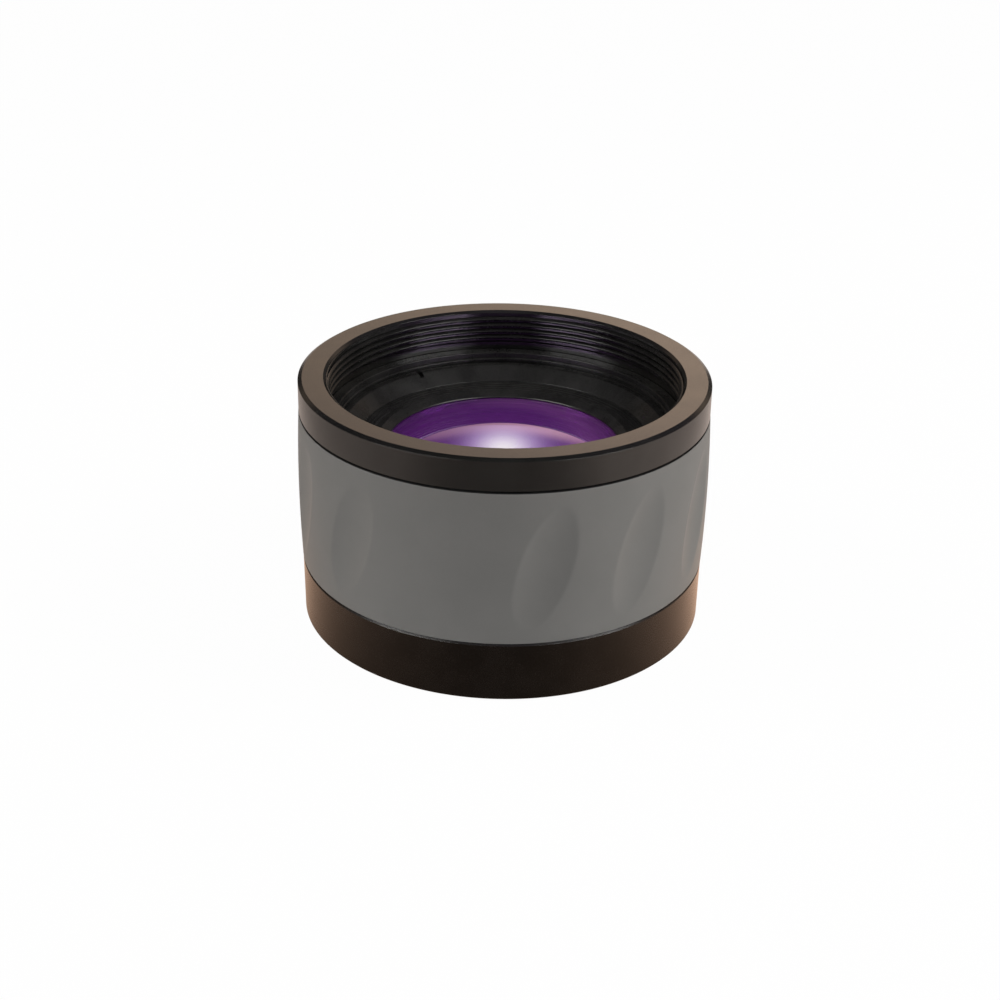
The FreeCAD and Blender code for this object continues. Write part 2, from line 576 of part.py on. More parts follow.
# The set screws: plain rods with a hexagon socket in the outer end.
for index in range(int(number("dim.grub_count"))):
    screw = new_body("cell_grub_screw_%d" % (index + 1), azimuth=index * 360 / number("dim.grub_count"))
    rod = screw.newObject("PartDesign::AdditiveCylinder", screw.Label + "_rod")
    socket = screw.newObject("PartDesign::SubtractivePrism", screw.Label + "_socket")
    for feature, start in (
        (rod, "place.grub_inner_end"),
        (socket, "place.grub_outer_end - dim.grub_socket_depth"),
    ):
        feature.AttachmentSupport = [(origin_feature(screw, "YZ_Plane"), "")]
        feature.MapMode = "FlatFace"
        feature.setExpression("AttachmentOffset.Base.y", "place.grub_axis")
        feature.setExpression("AttachmentOffset.Base.z", start)
    rod.setExpression("Radius", "dim.grub_radius")
    rod.setExpression("Height", "dim.grub_length")
    socket.Polygon = 6
    socket.setExpression("Circumradius", "dim.grub_socket_radius")
    socket.setExpression("Height", "dim.grub_socket_depth")

doc.recompute()

# Nothing is written unless every object computed and every piece is one sound solid.
for item in doc.Objects:
    if "Invalid" in item.State or "Error" in item.State:
        raise ValueError("object failed: %s %s" % (item.Label, item.State))
for item in parts:
    if item.Shape.isNull() or not item.Shape.isValid() or len(item.Shape.Solids) != 1:
        raise ValueError("piece is not one valid solid: " + item.Label)

os.makedirs("parts", exist_ok=True)
for item in parts:
    item.Shape.exportStep("parts/%s.step" % item.Label)
print("pieces: %d, height %.2f" % (len(parts), number("place.mouth")))
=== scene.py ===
import math
from itertools import product

import bpy
from mathutils import Matrix, Vector


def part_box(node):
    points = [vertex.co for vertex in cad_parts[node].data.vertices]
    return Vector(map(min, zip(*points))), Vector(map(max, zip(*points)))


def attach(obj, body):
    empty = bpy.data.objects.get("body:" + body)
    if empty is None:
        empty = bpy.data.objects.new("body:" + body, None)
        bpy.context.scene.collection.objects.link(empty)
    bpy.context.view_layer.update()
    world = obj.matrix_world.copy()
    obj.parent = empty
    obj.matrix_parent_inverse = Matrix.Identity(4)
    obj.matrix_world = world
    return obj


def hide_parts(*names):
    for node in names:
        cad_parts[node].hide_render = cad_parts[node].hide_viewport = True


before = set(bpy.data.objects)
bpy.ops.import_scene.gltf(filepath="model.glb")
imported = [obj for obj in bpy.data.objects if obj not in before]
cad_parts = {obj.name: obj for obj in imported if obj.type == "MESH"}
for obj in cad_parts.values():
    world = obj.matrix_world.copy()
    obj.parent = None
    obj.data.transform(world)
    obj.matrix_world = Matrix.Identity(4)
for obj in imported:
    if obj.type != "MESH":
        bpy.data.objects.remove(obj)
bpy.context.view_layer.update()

# Lens cell
# The black cell that carries all the glass: a wide flange whose front face is the shoulder under
# the thread, and a tube down to the rear ring. Turned from aluminium and anodised matte black,
# with a fine thread in its front bore for the retaining ring.
MM = 0.001
STEPS_AROUND = 256


def span(node):
    """Lowest and highest point of a frame node along the axis, in millimetres."""
    low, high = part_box(node)
    return low[2] / MM, high[2] / MM


CELL_REAR, CELL_FRONT = span("lens_cell")
GLARE_BACK, GLARE_FRONT = span("glare_ring")
WEB_BACK = span("middle_element")[1]
CELL_RADIUS = 42.25
CELL_MOUTH_RADIUS = 39.4
CELL_TUBE_RADIUS = 36.0
CELL_FLANGE_HEIGHT = 12.9
FRONT_LENS_BORE = 30.05
REAR_LENS_BORE = 27.05
CLEAR_RADIUS = 24.0
WEB_THICKNESS = 2.5
WEB_FRONT = WEB_BACK + WEB_THICKNESS
GLARE_SEAT_GAP = 0.1
CELL_LEDGE = GLARE_BACK - GLARE_SEAT_GAP
CELL_REAR_CHAMFER = 0.4
CELL_ROUNDING = 0.16
EDGE_BREAK = 0.2
LEAST_TURN = 0.06
LONGEST_ARC = 0.3
LONGEST_GUARD = 0.1
ON_AXIS = 1e-6


def softened(corners, radius, steps=3):
    """A closed outline with each corner turned by a small arc, and a line kept beside each arc
    so that the flats stay flat when they are shaded smooth."""
    points = []
    for index, (x, y) in enumerate(corners):
        here = Vector((x, y))
        before, after = Vector(corners[index - 1]), Vector(corners[(index + 1) % len(corners)])
        back, ahead = before - here, after - here
        if min(here.x, back.length, ahead.length) < ON_AXIS:
            points.append(here)
            continue
        turn = math.pi - back.angle(ahead)
        if turn < LEAST_TURN:
            points.append(here)
            continue
        shorter = min(back.length, ahead.length)
        reach = min(radius * math.tan(turn / 2), LONGEST_ARC * shorter)
        start, end = here + back.normalized() * reach, here + ahead.normalized() * reach
        guard = min(reach, LONGEST_GUARD * shorter)
        points.append(start + back.normalized() * guard)
        for step in range(steps + 1):
            t = step / steps
            points.append(start.lerp(here, t).lerp(here.lerp(end, t), t))
        points.append(end + ahead.normalized() * guard)
    return points


def mesh_piece(name, vertices, faces):
    """A new mesh object at the origin, shaded smooth, with its corners in millimetres."""
    mesh = bpy.data.meshes.new(name)
    mesh.from_pydata([tuple(c * MM for c in vertex) for vertex in vertices], [], faces)
    mesh.validate()
    mesh.shade_smooth()
    piece = bpy.data.objects.new(name, mesh)
    bpy.context.scene.collection.objects.link(piece)
    return piece


def turned(name, outline, around=STEPS_AROUND):
    """A piece turned on a lathe from a closed outline of (radius, height), counter-clockwise."""
    outline = [(max(x, 0.0), y) for x, y in outline]
    vertices, rows = [], []
    for radius, height in outline:
        if radius < ON_AXIS:
            rows.append([len(vertices)] * around)
            vertices.append((0.0, 0.0, height))
            continue
        rows.append(list(range(len(vertices), len(vertices) + around)))
        for step in range(around):
            angle = 2 * math.pi * step / around
            vertices.append((radius * math.cos(angle), radius * math.sin(angle), height))
    faces = []
    for index, row in enumerate(rows):
        above = rows[(index + 1) % len(rows)]
        if row[0] == row[1] and above[0] == above[1]:
            continue
        for step in range(around):
            follower = (step + 1) % around
            corners = [row[step], row[follower], above[follower], above[step]]
            faces.append(tuple(dict.fromkeys(corners)))
    return mesh_piece(name, vertices, faces)


class Net:
    """A socket of a node tree. Sums with it add Math nodes, and add() makes any other node."""

    def __init__(self, tree, socket=None):
        self.tree = tree
        self.socket = socket

    def add(self, kind, settings=None, sockets=None, out=0):
        """A new node: its settings first, then the values or links of its sockets."""
        node = self.tree.nodes.new(kind)
        for name, value in (settings or {}).items():
            setattr(node, name, value)
        for key, value in (sockets or {}).items():
            if isinstance(value, Net):
                self.tree.links.new(value.socket, node.inputs[key])
            else:
                node.inputs[key].default_value = value
        return Net(self.tree, node.outputs[out]) if node.outputs else None

    def math(self, operation, *others):
        """A Math node with this value first."""
        sockets = dict(enumerate((self,) + others))
        return self.add("ShaderNodeMath", {"operation": operation}, sockets)

    def flipped(self, operation, other):
        """A Math node with this value second, for a plain number on the left of a sum."""
        return self.add("ShaderNodeMath", {"operation": operation}, {0: other, 1: self})

    def __add__(self, other):
        return self.math("ADD", other)

    def __sub__(self, other):
        return self.math("SUBTRACT", other)

    def __mul__(self, other):
        return self.math("MULTIPLY", other)

    def __truediv__(self, other):
        return self.math("DIVIDE", other)

    def __radd__(self, other):
        return self.flipped("ADD", other)

    def __rsub__(self, other):
        return self.flipped("SUBTRACT", other)

    def __rmul__(self, other):
        return self.flipped("MULTIPLY", other)

    def __rtruediv__(self, other):
        return self.flipped("DIVIDE", other)

    def __neg__(self):
        return self.math("MULTIPLY", -1.0)

    def clamped(self, low, high, start=0.0, end=1.0):
        """This value mapped smoothly from low..high to start..end, and held there."""
        return self.add(
            "ShaderNodeMapRange", {"interpolation_type": "SMOOTHSTEP"},
            {"Value": self, "From Min": low, "From Max": high, "To Min": start, "To Max": end},
        )


def surface(name, **constants):
    """A material's tree with its shader's fixed sockets set, for what varies to be linked to."""
    made = bpy.data.materials.new(name)
    made.use_nodes = True
    shader = made.node_tree.nodes["Principled BSDF"]
    for socket, value in constants.items():
        shader.inputs[socket.replace("_", " ")].default_value = value
    return made, Net(made.node_tree), shader


def link(net, socket, shader, name):
    """Feeds what varies over the surface into one of the shader's sockets."""
    net.tree.links.new(socket.socket, shader.inputs[name])


def round_axis(net):
    """Distance from the axis and height of a shaded point, in metres, and its position."""
    place = net.add("ShaderNodeTexCoord", out="Object")
    parts = [net.add("ShaderNodeSeparateXYZ", None, {0: place}, out=axis) for axis in "XYZ"]
    distance = (parts[0] * parts[0] + parts[1] * parts[1]).math("SQRT")
    return place, distance, parts[2]


def mixed(net, factor, first, second):
    """One colour turning into another."""
    return net.add(
        "ShaderNodeMix", {"data_type": "RGBA"}, {"Factor": factor, 6: first, 7: second}, out=2
    )


def machined_black(name, dark, light, roughness, turning, gloss):
    """Black anodised aluminium: a mottled black with fine turning marks round the axis."""
    made, net, shader = surface(name, Specular_IOR_Level=gloss)
    place, distance, height = round_axis(net)
    mottle = net.add("ShaderNodeTexNoise", None, {"Vector": place, "Scale": 140.0, "Detail": 6.0})
    grain = net.add("ShaderNodeTexNoise", None, {"Vector": place, "Scale": 5200.0, "Detail": 2.0})
    band = net.add("ShaderNodeCombineXYZ", None, {0: distance, 1: height})
    marks = net.add("ShaderNodeTexNoise", None, {"Vector": band, "Scale": 3400.0, "Detail": 3.0})
    link(net, mixed(net, mottle.clamped(0.35, 0.65), dark, light), shader, "Base Color")
    rough = roughness + (mottle - 0.5) * 0.10 + (grain - 0.5) * 0.12
    link(net, rough, shader, "Roughness")
    relief = marks * turning + grain * (1 - turning)
    bump = net.add("ShaderNodeBump", None, {
        "Strength": 0.25, "Distance": 0.00004, "Height": relief,
    })
    link(net, bump, shader, "Normal")
    return made


CELL_BLACK = machined_black(
    "cell_black", dark=(0.013, 0.013, 0.0125, 1), light=(0.019, 0.019, 0.018, 1),
    roughness=0.28, turning=0.8, gloss=0.2,
)


def place_piece(piece, material, slot, *nodes):
    """Dresses a piece, hangs it on the frame and lets it stand for its CAD nodes."""
    piece.data.materials.clear()
    piece.data.materials.append(material)
    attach(piece, "root")
    if nodes:
        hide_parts(*nodes)


cell = turned("cell_body", softened([
    (REAR_LENS_BORE, CELL_REAR + CELL_REAR_CHAMFER),
    (REAR_LENS_BORE + CELL_REAR_CHAMFER, CELL_REAR),
    (CELL_TUBE_RADIUS, CELL_REAR),
    (CELL_TUBE_RADIUS, CELL_FRONT - CELL_FLANGE_HEIGHT),
    (CELL_RADIUS, CELL_FRONT - CELL_FLANGE_HEIGHT),
    (CELL_RADIUS, CELL_FRONT - EDGE_BREAK),
    (CELL_RADIUS - EDGE_BREAK, CELL_FRONT),
    (CELL_MOUTH_RADIUS + EDGE_BREAK, CELL_FRONT),
    (CELL_MOUTH_RADIUS, CELL_FRONT - EDGE_BREAK),
    (CELL_MOUTH_RADIUS, CELL_LEDGE),
    (FRONT_LENS_BORE, CELL_LEDGE),
    (FRONT_LENS_BORE, WEB_FRONT),
    (CLEAR_RADIUS, WEB_FRONT),
    (CLEAR_RADIUS, WEB_BACK),
    (REAR_LENS_BORE, WEB_BACK),
], CELL_ROUNDING))
place_piece(cell, CELL_BLACK, "black_inner", "lens_cell")


# The section is drawn pointing up, and this turn points its crest at the axis. The widths of the
# crest and the root and the rounding of the crest are parts of the pitch.
RIDGE_TURN = -math.pi / 2
CREST_SHARE = 0.2
ROOT_SHARE = 0.96
FILLET_SHARE = 0.16
THIN_END = 0.02
SHARP_EDGE = math.radians(30)


def thread_tree():
    """Nodes for a thread: a ridge of trapezoid section swept along a helix, thin at both ends."""
    tree = bpy.data.node_groups.new("thread_ridge", "GeometryNodeTree")
    names = [
        "Wall Radius", "Depth", "Pitch", "Turns", "Start Height", "Start Angle", "Runout",
        "Crest Width", "Root Width",
    ]
    for name in names:
        tree.interface.new_socket(name, in_out="INPUT", socket_type="NodeSocketFloat")
    tree.interface.new_socket("Finish", in_out="INPUT", socket_type="NodeSocketMaterial")
    tree.interface.new_socket("Ridge", in_out="OUTPUT", socket_type="NodeSocketGeometry")
    entry = tree.nodes.new("NodeGroupInput")
    given = {socket.name: Net(tree, socket) for socket in entry.outputs if socket.name}
    net = Net(tree)
    helix = net.add("GeometryNodeCurveSpiral", None, {
        "Resolution": 192, "Rotations": given["Turns"], "Start Radius": given["Wall Radius"],
        "End Radius": given["Wall Radius"], "Height": given["Turns"] * given["Pitch"],
    })
    helix = net.add("GeometryNodeTransform", None, {
        "Geometry": helix,
        "Translation": net.add("ShaderNodeCombineXYZ", None, {"Z": given["Start Height"]}),
        "Rotation": net.add("ShaderNodeCombineXYZ", None, {"Z": given["Start Angle"]}),
    })
    upright = net.add("GeometryNodeSetCurveNormal", {"mode": "Z_UP"}, {"Curve": helix})
    along = net.add("GeometryNodeSplineParameter", out="Factor")
    from_end = 0.5 - (along - 0.5).math("ABSOLUTE")
    whole = (from_end * given["Turns"] / given["Runout"]).math("MINIMUM", 1.0)
    thin = whole.math("MAXIMUM", THIN_END)
    section = net.add("GeometryNodeCurvePrimitiveQuadrilateral", {"mode": "TRAPEZOID"}, {
        "Bottom Width": given["Root Width"], "Top Width": given["Crest Width"],
        "Height": given["Depth"], "Offset": 0.0,
    })
    rise = net.add("ShaderNodeCombineXYZ", None, {"Y": given["Depth"] * 0.5})
    section = net.add("GeometryNodeTransform", None, {"Geometry": section, "Translation": rise})
    section = net.add("GeometryNodeTransform", None, {
        "Geometry": section, "Rotation": (0.0, 0.0, RIDGE_TURN),
    })
    section = net.add("GeometryNodeFilletCurve", {"mode": "POLY"}, {
        "Curve": section, "Count": 3, "Radius": given["Pitch"] * FILLET_SHARE,
    })
    ridge = net.add("GeometryNodeCurveToMesh", None, {
        "Curve": upright, "Profile Curve": section, "Scale": thin, "Fill Caps": True,
    })
    solid = net.add("GeometryNodeRealizeInstances", None, {"Geometry": ridge})
    dressed = net.add("GeometryNodeSetMaterial", None, {
        "Geometry": solid, "Material": given["Finish"],
    })
    output = tree.nodes.new("NodeGroupOutput")
    tree.links.new(dressed.socket, output.inputs["Ridge"])
    return tree


THREAD_RIDGE = thread_tree()


def grown(name, tree, values, base=None):
    """A plain mesh made by a node tree, with the tree's named inputs set first."""
    mesh = base or bpy.data.meshes.new(name)
    piece = bpy.data.objects.new(name, mesh)
    bpy.context.scene.collection.objects.link(piece)
    modifier = piece.modifiers.new("grown", "NODES")
    modifier.node_group = tree
    for socket in tree.interface.items_tree:
        if socket.in_out == "INPUT" and socket.name in values:
            modifier[socket.identifier] = values[socket.name]
    piece.update_tag()
    ready = piece.evaluated_get(bpy.context.evaluated_depsgraph_get())
    made = bpy.data.meshes.new_from_object(ready)
    piece.modifiers.clear()
    piece.data = made
    made.name = name
    return piece


def thread(name, wall, depth, pitch, crest, turns, runout, material):
    """A thread on an inner wall, in millimetres. Its lowest full crest is at a height at the back,
    and it winds up from there; its ends run out over a part of a turn."""
    piece = grown(name, THREAD_RIDGE, {
        "Wall Radius": wall * MM, "Depth": depth * MM, "Pitch": pitch * MM, "Turns": turns + runout,
        "Start Height": (crest - runout * pitch) * MM,
        "Start Angle": math.pi / 2 - 2 * math.pi * runout, "Runout": runout,
        "Crest Width": CREST_SHARE * pitch * MM, "Root Width": ROOT_SHARE * pitch * MM,
        "Finish": material,
    })
    piece.data.set_sharp_from_angle(angle=SHARP_EDGE)
    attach(piece, "root")


thread(
    "cell_thread", CELL_MOUTH_RADIUS, depth=0.5, pitch=1.0, crest=CELL_FRONT - 2.1,
    turns=1.25, runout=0.3, material=CELL_BLACK,
)

# Front lenses
# A convex lens of about sixty millimetres with a second lens cemented behind it. Both are ground
# and polished glass; the outer faces carry a coating that reflects violet.
FRONT_CURVE = 97.0
CEMENT_CURVE = 150.0
FRONT_LENS_RADIUS = 30.0
CEMENT_RIM = span("second_element")[1]
GLARE_GAP = 0.05
FRONT_RIM = GLARE_BACK - GLARE_GAP


def dome(curve, radius, rim, side, steps=24):
    """Points of a spherical face from its rim to the axis; side +1 swells up, -1 down."""
    centre = rim - side * math.sqrt(curve ** 2 - radius ** 2)
    widest = math.asin(radius / curve)
    angles = [widest * (1 - step / steps) for step in range(steps + 1)]
    return [(curve * math.sin(angle), centre + side * curve * math.cos(angle)) for angle in angles]


def coated_glass():
    """Polished glass with a violet coating over a dark barrel. Its violet base colour is a painted
    glow of light reflected inside the lens, paler towards the rim and paler on one side as painted
    light.
    """
    made, net, shader = surface(
        "coated_glass", Roughness=0.0, IOR=1.8, Transmission_Weight=0.5,
        Specular_Tint=(0.88, 0.50, 1.25, 1),
    )
    place, distance, _ = round_axis(net)
    x = net.add("ShaderNodeSeparateXYZ", None, {0: place}, out="X")
    # Painted glow: the violet base colour is paler towards the rim and on one side, painted light.
    rim = mixed(net, x.clamped(-0.012, 0.004), (0.21, 0.036, 0.34, 1), (0.30, 0.076, 0.42, 1))
    body = mixed(net, distance.clamped(0.012, 0.021), (0.18, 0.036, 0.30, 1), rim)
    link(net, body, shader, "Base Color")
    return made


COATED_GLASS = coated_glass()
front_lens = turned(
    "front_lens",
    [(FRONT_LENS_RADIUS, CEMENT_RIM)]
    + dome(FRONT_CURVE, FRONT_LENS_RADIUS, FRONT_RIM, 1)
    + list(reversed(dome(CEMENT_CURVE, FRONT_LENS_RADIUS, CEMENT_RIM, -1)))[:-1],
)
place_piece(front_lens, COATED_GLASS, "coated_glass", "front_element")


def plain_glass():
    """Uncoated inner glass, faintly green."""
    made, net, shader = surface("plain_glass", Roughness=0.03, IOR=1.52, Transmission_Weight=0.9)
    _, distance, _ = round_axis(net)
    tone = mixed(net, distance.clamped(0.0, 0.03), (0.80, 0.84, 0.84, 1), (0.60, 0.66, 0.64, 1))
    link(net, tone, shader, "Base Color")
    return made


def coat_nodes(material, *nodes):
    """Gives hidden CAD pieces their finish and leaves their shape as it is."""
    for node in nodes:
        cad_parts[node].data.materials.clear()
        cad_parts[node].data.materials.append(material)


coat_nodes(plain_glass(), "second_element", "middle_element", "fourth_element")

# Glare ring
# A flat black ring over the edge of the front lens. Shallow grooves turned in its face break up
# stray light, and a bevel leads down to the glass. A soft ring lies in a groove underneath.
GLARE_LIP_RADIUS = 27.3
GLARE_FLAT_RADIUS = 29.6
RING_RADIUS = 39.3
RING_FOOT_RADIUS = 34.4
GLARE_LIP = GLARE_FRONT - 1.56
GLARE_ROUNDING = 0.3
GROOVE_PITCH = 1.1
GROOVE_DEPTH = 0.10
GROOVE_MARGIN = 0.2
GROOVE_LAND = 0.42 * GROOVE_PITCH
GROOVE_BOTTOM = 0.72 * GROOVE_PITCH

grooved = []
groove_count = int((RING_FOOT_RADIUS - GLARE_FLAT_RADIUS - 2 * GROOVE_MARGIN) / GROOVE_PITCH)
for index in range(groove_count):
    outer = RING_FOOT_RADIUS - GROOVE_MARGIN - index * GROOVE_PITCH
    grooved += [
        (outer, GLARE_FRONT), (outer - GROOVE_LAND, GLARE_FRONT),
        (outer - GROOVE_BOTTOM, GLARE_FRONT - GROOVE_DEPTH),
    ]
glare = turned("glare_plate", softened([
    (GLARE_LIP_RADIUS, GLARE_LIP),
    (FRONT_LENS_BORE, GLARE_BACK),
    (RING_RADIUS, GLARE_BACK),
    (RING_RADIUS, GLARE_FRONT),
] + grooved + [
    (GLARE_FLAT_RADIUS, GLARE_FRONT),
], GLARE_ROUNDING))
place_piece(glare, CELL_BLACK, "black_inner", "glare_ring")

# Front retaining ring
# The ring that holds the glare ring and the lenses down: a flat top with two slots for a spanner
# and a cone that opens towards the mouth. Turned, threaded on the outside, anodised black.
RING_FRONT = span("front_retaining_ring")[1]
RING_FLAT = 1.8
CONE_TOP_RADIUS = RING_RADIUS - RING_FLAT
CONE_HEIGHT = CONE_TOP_RADIUS - RING_FOOT_RADIUS
RING_ROUNDING = 0.35
SLOT_WIDTH = 1.2
FRONT_SLOT_DEPTH = 0.9
SLOT_OVERRUN = 1
SLOT_AZIMUTH = math.radians(124.5)
SLOT_SHARP_EDGE = math.radians(35)


def bar(name, low, high, azimuth):
    """A plain bar between two corners in millimetres, turned round the axis, to cut with."""
    corners = product(*zip(low, high))
    turn = Matrix.Rotation(azimuth, 3, "Z")
    faces = [(0, 1, 3, 2), (4, 6, 7, 5), (0, 4, 5, 1), (2, 3, 7, 6), (0, 2, 6, 4), (1, 5, 7, 3)]
    return mesh_piece(name, [tuple(turn @ Vector(corner)) for corner in corners], faces)


def cut(piece, cutters):
    """Takes cutters off a piece and leaves a plain mesh."""
    for cutter in cutters:
        modifier = piece.modifiers.new("cut", "BOOLEAN")
        modifier.object = cutter
        modifier.solver = "EXACT"
        ready = piece.evaluated_get(bpy.context.evaluated_depsgraph_get())
        made = bpy.data.meshes.new_from_object(ready)
        piece.modifiers.clear()
        piece.data = made
        bpy.data.objects.remove(cutter)
    piece.data.set_sharp_from_angle(angle=SLOT_SHARP_EDGE)


def slotted(piece, inner, outer, low, high):
    """Two opposite spanner slots across a ring."""
    cut(piece, [
        bar("slot", (inner, -SLOT_WIDTH / 2, low), (outer, SLOT_WIDTH / 2, high), azimuth)
        for azimuth in (SLOT_AZIMUTH, SLOT_AZIMUTH + math.pi)
    ])


ring = turned("front_spanner_ring", softened([
    (RING_FOOT_RADIUS, GLARE_FRONT),
    (RING_RADIUS, GLARE_FRONT),
    (RING_RADIUS, RING_FRONT),
    (CONE_TOP_RADIUS, RING_FRONT),
    (RING_FOOT_RADIUS, RING_FRONT - CONE_HEIGHT),
], RING_ROUNDING))
slotted(
    ring, RING_FOOT_RADIUS, RING_RADIUS + SLOT_OVERRUN,
    RING_FRONT - FRONT_SLOT_DEPTH, RING_FRONT + SLOT_OVERRUN,
)
place_piece(ring, CELL_BLACK, "black_inner", "front_retaining_ring")

# Rear lenses and their ring
# Three more lenses sit in the cell from behind, parted by spacers and a thin light stop, and a
# slotted ring on a soft washer holds them. Only the last lens and the ring show from below.
REAR_RING_LOW, REAR_RING_HIGH = span("rear_retaining_ring")
REAR_LENS_FRONT = span("rear_element")[1]
GASKET_THICKNESS = 0.4
REAR_LENS_BACK = REAR_RING_HIGH + GASKET_THICKNESS
REAR_LENS_RADIUS = 27.0
REAR_BACK_CURVE = 160.0
REAR_FRONT_CURVE = 120.0
REAR_RING_RADIUS = 26.95
REAR_RING_BORE = 24.2
REAR_RING_ROUNDING = 0.15
REAR_SLOT_DEPTH = 1.5

rear_lens = turned(
    "rear_lens",
    list(reversed(dome(REAR_BACK_CURVE, CLEAR_RADIUS, REAR_LENS_BACK, -1)))
    + [(REAR_LENS_RADIUS, REAR_LENS_BACK), (REAR_LENS_RADIUS, REAR_LENS_FRONT)]
    + dome(REAR_FRONT_CURVE, CLEAR_RADIUS, REAR_LENS_FRONT, -1),
)
rear_lens.data.set_sharp_from_angle(angle=SHARP_EDGE)
place_piece(rear_lens, COATED_GLASS, "coated_glass", "rear_element")

rear_spanner_ring = turned("rear_spanner_ring", softened([
    (REAR_RING_BORE, REAR_RING_LOW),
    (REAR_RING_RADIUS, REAR_RING_LOW),
    (REAR_RING_RADIUS, REAR_RING_HIGH),
    (REAR_RING_BORE, REAR_RING_HIGH),
], REAR_RING_ROUNDING))
slotted(
    rear_spanner_ring, REAR_RING_BORE - SLOT_OVERRUN, REAR_RING_RADIUS + SLOT_OVERRUN,
    REAR_RING_LOW - SLOT_OVERRUN, REAR_RING_LOW + REAR_SLOT_DEPTH,
)
place_piece(rear_spanner_ring, CELL_BLACK, "black_inner", "rear_retaining_ring")
coat_nodes(CELL_BLACK, "light_stop", "middle_spacer", "rear_spacer")

# Soft rings and set screws
# Soft black rubber seals the grip's two joints and cushions the glass, and three blackened steel
# screws lock the cell inside the front ring. All of them are hidden once the thing is together.


def soft_rubber():
    """Matte black rubber with fine specks."""
    made, net, shader = surface("soft_rubber", Specular_IOR_Level=0.35)
    place, _, _ = round_axis(net)
    speck = net.add("ShaderNodeTexNoise", None, {"Vector": place, "Scale": 900.0, "Detail": 4.0})
    tone = mixed(net, speck, (0.010, 0.010, 0.010, 1), (0.020, 0.020, 0.019, 1))
    link(net, tone, shader, "Base Color")
    link(net, 0.55 + speck * 0.2, shader, "Roughness")
    return made


def screw_steel():
    """Steel blackened with oil, unevenly dark."""
    made, net, shader = surface("screw_steel", Metallic=1.0)
    place, _, _ = round_axis(net)
    stain = net.add("ShaderNodeTexNoise", None, {"Vector": place, "Scale": 1500.0, "Detail": 4.0})
    tone = mixed(net, stain, (0.05, 0.05, 0.052, 1), (0.11, 0.11, 0.11, 1))
    link(net, tone, shader, "Base Color")
    link(net, 0.3 + stain * 0.25, shader, "Roughness")
    return made


coat_nodes(
    soft_rubber(), "rear_gasket", "front_cushion_ring", "front_joint_seal", "rear_joint_seal"
)
coat_nodes(screw_steel(), "cell_grub_screw_1", "cell_grub_screw_2", "cell_grub_screw_3")

# Front ring
# The black ring at the telescope's end. Its mouth holds a coarse female thread with a plain
# relief under it, and its skirt runs down inside the grip. Turned from aluminium and anodised a
# smooth satin black.
FRONT_FOOT, MOUTH = span("front_ring")
GRIP_REAR, GRIP_FRONT = span("grip_barrel")
THREAD_WALL = 41.66
THREAD_PITCH = 25.4 / 16
THREAD_DEPTH = 0.86
THREAD_END = 8.0
RELIEF_RADIUS = 42.3
SKIRT_RADIUS = 44.5
RING_SIDE = 48.14
MOUTH_CHAMFER = 0.6
BEVEL_WIDTH = 0.94
BEVEL_HEIGHT = 0.6
JOINT_CHAMFER = 0.4
BAND_ROUNDING = 0.05
BAND_STEPS_AROUND = 360
RING_BLACK = machined_black(
    "ring_black", dark=(0.008, 0.008, 0.0074, 1), light=(0.0115, 0.0115, 0.0105, 1),
    roughness=0.18, turning=0.25, gloss=0.5,
)
front_ring = turned("front_band", softened([
    (THREAD_WALL + MOUTH_CHAMFER, MOUTH),
    (THREAD_WALL, MOUTH - MOUTH_CHAMFER),
    (THREAD_WALL, MOUTH - THREAD_END),
    (RELIEF_RADIUS, MOUTH - THREAD_END - (RELIEF_RADIUS - THREAD_WALL)),
    (RELIEF_RADIUS, FRONT_FOOT),
    (SKIRT_RADIUS, FRONT_FOOT),
    (SKIRT_RADIUS, GRIP_FRONT),
    (RING_SIDE - JOINT_CHAMFER, GRIP_FRONT),
    (RING_SIDE, GRIP_FRONT + JOINT_CHAMFER),
    (RING_SIDE, MOUTH - BEVEL_HEIGHT),
    (RING_SIDE - BEVEL_WIDTH, MOUTH),
], BAND_ROUNDING), around=BAND_STEPS_AROUND)
place_piece(front_ring, RING_BLACK, "black_anodised", "front_ring")

THREAD_BLACK = machined_black(
    "thread_black", dark=(0.009, 0.009, 0.0085, 1), light=(0.013, 0.013, 0.012, 1),
    roughness=0.26, turning=0.25, gloss=0.28,
)
thread(
    "telescope_thread", THREAD_WALL, depth=THREAD_DEPTH, pitch=THREAD_PITCH, crest=MOUTH - 7.35,
    turns=4.2, runout=0.35, material=THREAD_BLACK,
)

# Grip barrel
# The grey barrel between the black rings, turned with a slight crown. Twelve slanted leaf-shaped
# finger recesses are milled round it, and the thirteenth place stays plain.
GRIP_BORE = 44.6
GRIP_END_RADIUS = 48.2
GRIP_CROWN = 0.46
GRIP_CHAMFER = 0.4
EDGE_DRAW_IN = 0.1
EDGE_RISE = 0.22
# How far down from the grip's front the painted shade of the joint reaches.
JOINT_SHADE_REACH = 0.30
CROWN_ROWS = 96
GRIP_STEPS_AROUND = 760
RECESS_PLACES = 13
RECESS_DEPTH = 1.3
RECESS_SLANT = math.radians(22)
RECESS_FORM = (38.4, 13.45, 9.3)
RECESS_EDGE = 0.22
FIRST_RECESS = math.radians(281.4)
FAR_OUT = 1.0
BORE_MARGIN = 1.0
GRIP_SHARP_EDGE = math.radians(50)

